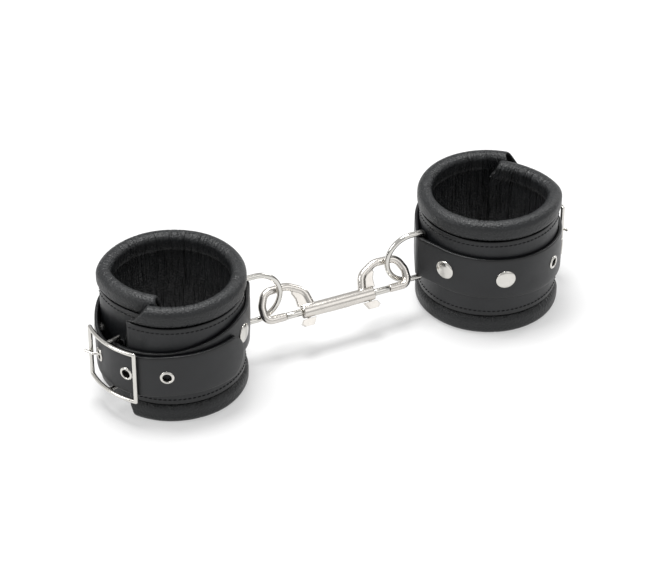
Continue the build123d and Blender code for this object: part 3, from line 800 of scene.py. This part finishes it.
def build_band(side, word, sizes):
    path = band_path()
    section, middles, kinds = band_section()
    length = path.length
    body = np.arange(1.1, length - 1.3, BODY_STEP)
    starts, start_shrink = np.array(POCKET).T
    ends, end_shrink = np.array(TUCK).T
    along = np.concatenate([starts, body, length - ends])
    shrink = np.concatenate([start_shrink, np.zeros(len(body)), end_shrink])

    top = (kinds >= 0) & (kinds <= 1)
    low = kinds >= 3
    wall = kinds == 2
    place = np.where(low, kinds - 3, np.where(top, kinds, 0))
    spots = along[:, None]
    begin = slant(section[:, 1], START_SLANT)[None] * (1 - smooth(spots / END_EASE))
    finish = slant(section[:, 1], FINISH_SLANT)[None] * (1 - smooth((length - spots) / END_EASE))
    places = spots + begin - finish

    depth = np.zeros(places.shape)
    gather = np.zeros(places.shape)
    seed = 11 if side < 0 else 21
    high_seam = pleats(along, sizes.pucker_pitch / MM, seed)
    low_seam = pleats(along, sizes.pucker_pitch / MM, seed + 1)
    for rows, (fold, reach) in ((top, high_seam), (low, low_seam)):
        near_in = smooth((place[rows][None] - (0.8 - 0.5 * reach[:, None])) / 0.35)
        near_out = 0.45 * smooth((0.16 * reach[:, None] + 0.03 - place[rows][None]) / 0.1)
        depth[:, rows] = fold[:, None] * (near_in + near_out)
        gather[:, rows] = smooth((place[rows][None] - 0.42) / 0.35) * 0.9 + near_out
    level = np.clip((section[wall][:, 1] - PANEL_LOW) / (PANEL_HIGH - PANEL_LOW), 0, 1)[None]
    depth[:, wall] = (high_seam[0][:, None] * smooth(level * 1.6 - 0.35)
                      + low_seam[0][:, None] * smooth(1.25 - level * 1.6))
    gather[:, wall] = 1.0

    sag = 0.5 + 0.5 * slow_wave(along, 17.0, 5 + side)[:, None]
    squeeze = np.where(top | low, 0.16, 0.1)[None] * sag
    inward = section - middles
    inward = inward / np.maximum(np.hypot(inward[:, 0], inward[:, 1]), 1e-6)[:, None]
    move = depth * sizes.pucker_depth / MM + squeeze
    move = move * (1 - smooth(shrink / 0.3))[:, None]
    eased = section[None] * (1 - shrink[:, None, None]) + middles[None] * shrink[:, None, None]
    eased = eased - inward[None] * move[..., None]
    eased[..., 1] = np.maximum(eased[..., 1], FLOOR_SKIM)
    # painted shade: how far the roll leather's colour is darkened, in the pucker valleys, at the
    # shrunken ends of the band (the pocket and the tuck) and along the creases where the rolls
    # meet the wall
    painted_crease_shade = np.clip(depth * 0.9, 0, 1) + smooth((shrink - 0.06) / 0.3)[:, None]
    off_crease = np.abs(section[:, 1][:, None] - CREASES).min(1)
    painted_crease_shade = np.clip(painted_crease_shade + 0.8 * np.exp(-off_crease / 0.6)[None], 0, 1)
    piece = swept_path("padded_band_" + word, path, side, along, places, eased[..., 0],
                       eased[..., 1], section, {"gather": gather, "painted_crease_shade": painted_crease_shade})
    finish_piece(piece, "roll_leather", "cuff_" + word, "garment_leather", "lining_" + word,
                 "foam_core_" + word)


# ---- panel ----
def rounded_box(low, high, bottom, top, radius, flats):
    """A rounded rectangle outline, points anticlockwise, and how near each is to an edge."""
    points, edges = [], []
    corners = [(high - radius, bottom + radius, -90), (high - radius, top - radius, 0),
               (low + radius, top - radius, 90), (low + radius, bottom + radius, 180)]
    for number, (x, y, start) in enumerate(corners):
        for angle in np.radians(np.linspace(start, start + 90, 5)):
            points.append((x + radius * cos(angle), y + radius * sin(angle)))
            edges.append(1.0)
        if number in (0, 2):
            ahead = corners[(number + 1) % 4]
            for part in np.linspace(0, 1, flats + 2)[1:-1]:
                side_x = high if number == 0 else low
                points.append((side_x, y + (ahead[1] - y) * part))
                edges.append(0.0)
    return np.array(points), np.array(edges)


def build_panel(side, word):
    path = band_path()
    section, edges = rounded_box(WALL_OUT, WALL_OUT + PANEL_THICK, PANEL_LOW, PANEL_HIGH,
                                 PANEL_EASE, 16)
    grooves = sum(np.exp(-(section[:, 1] - row) ** 2 / 0.35) for row in STITCH_ROWS)
    outer = section[:, 0] > WALL_OUT + 1.2
    section[:, 0] -= GROOVE_DEPTH * grooves * outer
    ends, end_pull = np.array([0.0, 0.12, 0.4]), np.array([0.55, 0.25, 0.07])
    body = np.linspace(0.9, path.length - 0.9, 240)
    along = np.concatenate([ends, body, path.length - ends[::-1]])
    pull = np.concatenate([end_pull, np.zeros(len(body)), end_pull[::-1]])[:, None]
    offsets = section[None, :, 0] + (WALL_OUT + PANEL_THICK / 2 - section[None, :, 0]) * pull
    heights = np.broadcast_to(section[:, 1], offsets.shape)
    edge = np.broadcast_to(np.maximum(edges[None], smooth(pull * 3)), offsets.shape)
    piece = swept_path("outer_panel_skin_" + word, path, side, along, along[:, None], offsets,
                       heights, section, {"edge": edge})
    finish_piece(piece, "strap_leather", "cuff_" + word, "bridle_leather", "outer_panel_" + word)


def build_stitches(side, word, tree, sizes):
    path = band_path()
    along = np.linspace(2.0, path.length - 2.0, 400)
    face = WALL_OUT + PANEL_THICK + 0.06
    plan = path.at(along, face)
    facing = np.column_stack([faced(path.at(along, face + 1) - plan, side), np.zeros(400)])
    rows = []
    for height in STITCH_ROWS:
        points = placed(np.column_stack([plan, np.full(400, height)]), side)
        carrier = carrier_mesh(points, facing, joined=True)
        rows.append(run_tree(carrier, tree, "row", Pitch=sizes.stitch_pitch,
                             Stitch_Length=sizes.stitch_pitch * STITCH_SHARE,
                             Thread_Radius=sizes.thread_radius,
                             Material=finishes()["sewing_thread"]))
    piece = joined("sewing_" + word, rows)
    finish_piece(piece, "sewing_thread", "cuff_" + word, "thread", "stitching_" + word)


def joined(name, pieces):
    """Several mesh objects made one."""
    work = bmesh.new()
    for piece in pieces:
        work.from_mesh(piece.data)
    mesh = bpy.data.meshes.new(name)
    work.to_mesh(mesh)
    work.free()
    for piece in pieces:
        bpy.data.objects.remove(piece)
    smooth_faces(mesh)
    return linked(name, mesh)


# ---- strap ----
def strap_rings(path):
    body = np.concatenate([[0.0, 0.15, 0.5], np.arange(1.0, path.length - TIP_R, 0.8)])
    tip = path.length - TIP_R * (1 - np.sin(np.radians(np.linspace(4, 90, 24))))
    along = np.concatenate([body, tip[:-1], [path.length - 0.01]])
    to_tip = path.length - along
    rounded = np.sqrt(np.maximum(TIP_R ** 2 - np.maximum(TIP_R - to_tip, 0) ** 2, 0))
    half_wide = np.maximum(np.minimum(STRAP_WIDE, rounded), 0.9)
    return along, half_wide


def build_strap(side, word):
    path = strap_path()
    along, half_wide = strap_rings(path)
    half = half_wide[:, None]
    section, edges = rounded_box(-STRAP_HALF, STRAP_HALF, -STRAP_WIDE, STRAP_WIDE,
                                 STRAP_EASE, 14)
    levels, _ = strap_heights(path, along)
    near = np.maximum(STRAP_WIDE - np.abs(section[:, 1]), 0)
    across = section[None, :, 1] * np.ones((len(along), 1))
    narrow = half - np.minimum(near[None], half)
    across = np.where(half < STRAP_WIDE, np.sign(section[None, :, 1]) * narrow, across)
    crown = -0.12 * (section[:, 1] / STRAP_WIDE) ** 4
    skive = np.exp(-along / 0.25)[:, None] * 0.45
    skive = skive + np.exp(-(path.length - along) / 0.3)[:, None] * 0.5
    offsets = section[:, 0] * (1 + crown) * (1 - skive)
    rim = np.maximum(edges[None], np.exp(-(half - np.abs(across)) / 0.5) * 0.6)
    rim = np.maximum(rim, smooth(skive * 2))
    piece = swept_path("riveted_strap_" + word, path, side, along, along[:, None], offsets,
                       levels[:, None] + across, section, {"edge": rim})
    cut_strap(piece, path, side)
    finish_piece(piece, "strap_leather", "cuff_" + word, "bridle_leather", "strap_" + word)


def turned_to(shape, spot, facing, side):
    """Puts a turned shape at a spot of the cuff with its axis facing outwards."""
    aim = faced(np.array(facing), side)
    turned = Vector(aim).to_track_quat("Z", "Y").to_matrix().to_4x4()
    turned.translation = Vector(placed([spot], side)[0])
    shape.data.transform(turned)


def cut_strap(piece, path, side):
    """Punches the eyelet holes and the slot for the prong through the strap."""
    cutters = []
    for angle in EYELETS_AT:
        spot, facing = strap_place(path, angle)
        punch = lathe("punch", PUNCH_PROFILE)
        turned_to(punch, spot, facing, side)
        cutters.append(punch)
    centre = turn(FOLD_AT) * FOLD_CENTRE_R
    inwards, onwards = turn(FOLD_AT + 180), turn(FOLD_AT + 270)
    corners = []
    for height in (BUCKLE_Z - SLOT_HALF, BUCKLE_Z + SLOT_HALF):
        for x, y in SLOT_CORNERS:
            corners.append(np.append(centre + inwards * x + onwards * y, height))
    faces = [(0, 3, 2, 1), (4, 5, 6, 7), (0, 1, 5, 4), (1, 2, 6, 5), (2, 3, 7, 6), (3, 0, 4, 7)]
    slot = make_object("slot", placed(corners, side), faces)
    face_outwards(slot)
    cutters.append(slot)
    tools = joined("tools", cutters)
    cut = piece.modifiers.new("cut", "BOOLEAN")
    cut.operation = "DIFFERENCE"
    cut.solver = "EXACT"
    cut.object = tools
    mesh = finished_mesh(piece)
    piece.modifiers.remove(cut)
    piece.data = mesh
    bpy.data.objects.remove(tools)


# ---- pressed fittings ----
def build_fittings(side, word, tree, label, angles, profile):
    """Rivets or eyelets of one cuff."""
    path = strap_path()
    spots, facings = [], []
    for angle in angles:
        spot, facing = strap_place(path, angle)
        spots.append(spot + facing * STRAP_HALF)
        facings.append(faced(facing, side))
    shape = lathe("turned_" + label, profile, 44)
    carrier = carrier_mesh(placed(spots, side), facings, joined=False)
    piece = run_tree(carrier, tree, label + "_set_" + word, Fitting=shape, Size=1.0,
                     Material=finishes()["polished_nickel"])
    bpy.data.objects.remove(shape)
    finish_piece(piece, "polished_nickel", "cuff_" + word, "nickel", label + "_" + word)


# ---- metal pieces ----
def build_softened(node, name, voxel, rounds, finish, body, slot):
    """A cast or formed copy of a CAD node, with its inner corners filled and edges eased."""
    piece = linked(name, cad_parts[node].data.copy())
    with opened(piece.data) as work:
        bmesh.ops.remove_doubles(work, verts=work.verts, dist=2e-6)
    fill = piece.modifiers.new("skin", "REMESH")
    fill.mode = "VOXEL"
    fill.voxel_size = voxel * MM
    fill.use_smooth_shade = True
    ease = piece.modifiers.new("ease", "SMOOTH")
    ease.factor = 0.5
    ease.iterations = rounds
    finish_piece(evaluated(piece, name), finish, body, slot, node)


def coat_node(node, material):
    """Gives a CAD node that keeps its shape a finished material."""
    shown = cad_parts[node]
    for index in range(len(shown.material_slots)):
        shown.material_slots[index].material = material


def build_bolt(side, word):
    """A turned bolt with eased ends, on the axis of the barrel."""
    low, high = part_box("bolt_" + word)
    piece = lathe("turned_bolt_" + word, BOLT_PROFILE, 48)
    aim = Vector((side, 0, 0)).to_track_quat("Z", "Y").to_matrix().to_4x4()
    inner = low.x if side > 0 else high.x
    aim.translation = Vector((inner, (low.y + high.y) / 2, (low.z + high.z) / 2))
    piece.data.transform(aim)
    finish_piece(piece, "polished_nickel", "bolt_" + word, "nickel", "bolt_" + word)


def build_spring(word):
    """A coil spring between the wall and its bolt."""
    node = "bolt_spring_" + word
    piece = linked("coil_spring_" + word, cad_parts[node].data.copy())
    finish_piece(piece, "spring_wire", "snap", "spring_steel", node)
    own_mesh(piece)


# ---- floor, lights and camera ----
def lay_floor(scene):
    corners = [(-1, -1, 0), (1, -1, 0), (1, 1, 0), (-1, 1, 0)]
    floor = make_object("floor", np.array(corners) * FLOOR_REACH, [(0, 1, 2, 3)])
    _, shader = new_material("pale_floor", scene.cuff_finish.floor_colour, Roughness=0.6,
                             Specular_IOR_Level=0.2, Emission_Strength=FLOOR_GLOW)
    shader.inputs["Emission Color"].default_value = (1, 1, 1, 1)
    floor.data.materials.append(bpy.data.materials["pale_floor"])


def area_light(name, place, size, power):
    data = bpy.data.lights.new(name, "AREA")
    data.shape = "RECTANGLE"
    data.size, data.size_y = size
    data.energy = power
    lamp = linked(name, data)
    lamp.location = place
    away = Vector(LIT_POINT) - Vector(place)
    lamp.rotation_euler = away.to_track_quat("-Z", "Y").to_euler()


def set_camera(scene):
    data = bpy.data.cameras.new("camera")
    data.lens = CAMERA_LENS
    data.clip_end = 50
    camera = linked("camera", data)
    azimuth, elevation = radians(CAMERA_TURN), radians(CAMERA_RISE)
    back = Vector((sin(azimuth) * cos(elevation), -cos(azimuth) * cos(elevation),
                   sin(elevation)))
    camera.location = Vector(CAMERA_TARGET) + back * CAMERA_AWAY
    camera.rotation_euler = back.to_track_quat("Z", "Y").to_euler()
    scene.camera = camera


# ---- settings ----
def length_setting(name, description, default):
    return bpy.props.FloatProperty(name=name, description=description, default=default,
                                   unit="LENGTH")


def colour_setting(name, description, default):
    return bpy.props.FloatVectorProperty(name=name, description=description, default=default,
                                         size=3, subtype="COLOR")


class CuffSizes(bpy.types.PropertyGroup):
    """Sizes of the sewing and the stuffing that a user may change."""

    stitch_pitch: length_setting(
        "Stitch pitch", "Distance from one stitch to the next", 0.0027)
    thread_radius: length_setting(
        "Thread radius", "Half the thickness of the sewing thread", 0.00027)
    pucker_pitch: length_setting(
        "Pucker pitch", "Mean distance between the gathers of the lining", 0.0021)
    pucker_depth: length_setting(
        "Pucker depth", "Depth of the gathers beside the seams", 0.0009)


class CuffFinish(bpy.types.PropertyGroup):
    """Colours of the leathers, thread, metals and floor."""

    garment_colour: colour_setting(
        "Roll leather", "Colour of the soft leather of rolls and lining",
        (0.0058, 0.0066, 0.0075))
    bridle_colour: colour_setting(
        "Strap leather", "Colour of the firm leather of panel and strap",
        (0.0075, 0.0082, 0.0095))
    thread_colour: colour_setting(
        "Thread", "Colour of the sewing thread", (0.006, 0.006, 0.0065))
    nickel_colour: colour_setting(
        "Polished nickel", "Colour of the formed metal", (0.66, 0.645, 0.61))
    cast_colour: colour_setting("Cast nickel", "Colour of the cast snap", (0.68, 0.65, 0.61))
    floor_colour: colour_setting("Floor", "Colour of the plain floor", (0.36, 0.36, 0.36))


# ---- operators ----
class BuildBands(bpy.types.Operator):
    """Builds the stuffed leather band of each cuff"""

    bl_idname = "cuffs.bands"
    bl_label = "Padded bands"

    def execute(self, context):
        for word, side in SIDES:
            build_band(side, word, context.scene.cuff_sizes)
        return {"FINISHED"}


class BuildPanels(bpy.types.Operator):
    """Builds the outer leather panels"""

    bl_idname = "cuffs.panels"
    bl_label = "Outer panels"

    def execute(self, context):
        for word, side in SIDES:
            build_panel(side, word)
        return {"FINISHED"}


class BuildSewing(bpy.types.Operator):
    """Sews the two rows of stitches round each panel"""

    bl_idname = "cuffs.sewing"
    bl_label = "Stitches"

    def execute(self, context):
        tree = sewing_tree()
        for word, side in SIDES:
            build_stitches(side, word, tree, context.scene.cuff_sizes)
        return {"FINISHED"}


class BuildStraps(bpy.types.Operator):
    """Builds the long buckled strap of each cuff"""

    bl_idname = "cuffs.straps"
    bl_label = "Straps"

    def execute(self, context):
        for word, side in SIDES:
            build_strap(side, word)
        return {"FINISHED"}


class BuildFittings(bpy.types.Operator):
    """Sets the rivets and eyelets in the straps"""

    bl_idname = "cuffs.fittings"
    bl_label = "Rivets and eyelets"

    def execute(self, context):
        tree = fitting_tree()
        for word, side in SIDES:
            build_fittings(side, word, tree, "eyelets", EYELETS_AT, EYELET_PROFILE)
            build_fittings(side, word, tree, "rivets", RIVETS_AT, RIVET_PROFILE)
        return {"FINISHED"}


class BuildBuckles(bpy.types.Operator):
    """Forms the buckle frames and their prongs"""

    bl_idname = "cuffs.buckles"
    bl_label = "Buckles"

    def execute(self, context):
        for word, _ in SIDES:
            build_softened("buckle_frame_" + word, "formed_buckle_" + word, 0.2, 6,
                           "polished_nickel", "buckle_" + word, "nickel")
            build_softened("buckle_prong_" + word, "wire_prong_" + word, 0.12, 4,
                           "polished_nickel", "prong_" + word, "nickel")
        return {"FINISHED"}


class BuildRings(bpy.types.Operator):
    """Finishes the D-rings and turns the sliding bolts with their springs"""

    bl_idname = "cuffs.rings"
    bl_label = "D-rings and bolts"

    def execute(self, context):
        for word, side in SIDES:
            build_bolt(side, word)
            coat_node("d_ring_" + word, finishes()["polished_nickel"])
            build_spring(word)
        return {"FINISHED"}


class BuildSnap(bpy.types.Operator):
    """Casts the body of the snap and its thumb knobs"""

    bl_idname = "cuffs.snap"
    bl_label = "Snap"

    def execute(self, context):
        build_softened("snap_body", "cast_snap", 0.24, 7, "plated_casting", "snap", "cast_nickel")
        for word, _ in SIDES:
            build_softened("thumb_knob_" + word, "cast_knob_" + word, 0.12, 8,
                           "plated_casting", "bolt_" + word, "cast_nickel")
        return {"FINISHED"}


class BuildStage(bpy.types.Operator):
    """Lays the pale floor and sets the soft lights and the camera"""

    bl_idname = "cuffs.stage"
    bl_label = "Stage"

    def execute(self, context):
        scene = context.scene
        lay_floor(scene)
        world = bpy.data.worlds.new("soft_room")
        world.use_nodes = True
        world.node_tree.nodes["Background"].inputs["Color"].default_value = (1, 1, 1, 1)
        world.node_tree.nodes["Background"].inputs["Strength"].default_value = WORLD_STRENGTH
        scene.world = world
        scene.view_settings.view_transform = "Standard"
        for light in LIGHTS:
            area_light(*light)
        set_camera(scene)
        return {"FINISHED"}


STEPS = (BuildBands, BuildPanels, BuildSewing, BuildStraps, BuildFittings, BuildBuckles,
         BuildRings, BuildSnap, BuildStage)


class CuffPanel(bpy.types.Panel):
    """Lists the pieces in the order that they are made"""

    bl_idname = "VIEW3D_PT_cuffs"
    bl_label = "Padded wrist cuffs"
    bl_space_type = "VIEW_3D"
    bl_region_type = "UI"
    bl_category = "Cuffs"

    def draw(self, context):
        for group in (context.scene.cuff_sizes, context.scene.cuff_finish):
            for label in group.__annotations__:
                self.layout.prop(group, label)
        for step in STEPS:
            self.layout.operator(step.bl_idname)


CLASSES = (CuffSizes, CuffFinish) + STEPS + (CuffPanel,)


def register():
    for item in CLASSES:
        bpy.utils.register_class(item)
    bpy.types.Scene.cuff_sizes = bpy.props.PointerProperty(type=CuffSizes)
    bpy.types.Scene.cuff_finish = bpy.props.PointerProperty(type=CuffFinish)


def unregister():
    del bpy.types.Scene.cuff_finish
    del bpy.types.Scene.cuff_sizes
    for item in reversed(CLASSES):
        bpy.utils.unregister_class(item)


def main():
    register()
    for step in STEPS:
        family, name = step.bl_idname.split(".")
        getattr(getattr(bpy.ops, family), name)()


if __name__ == "__main__":
    main()
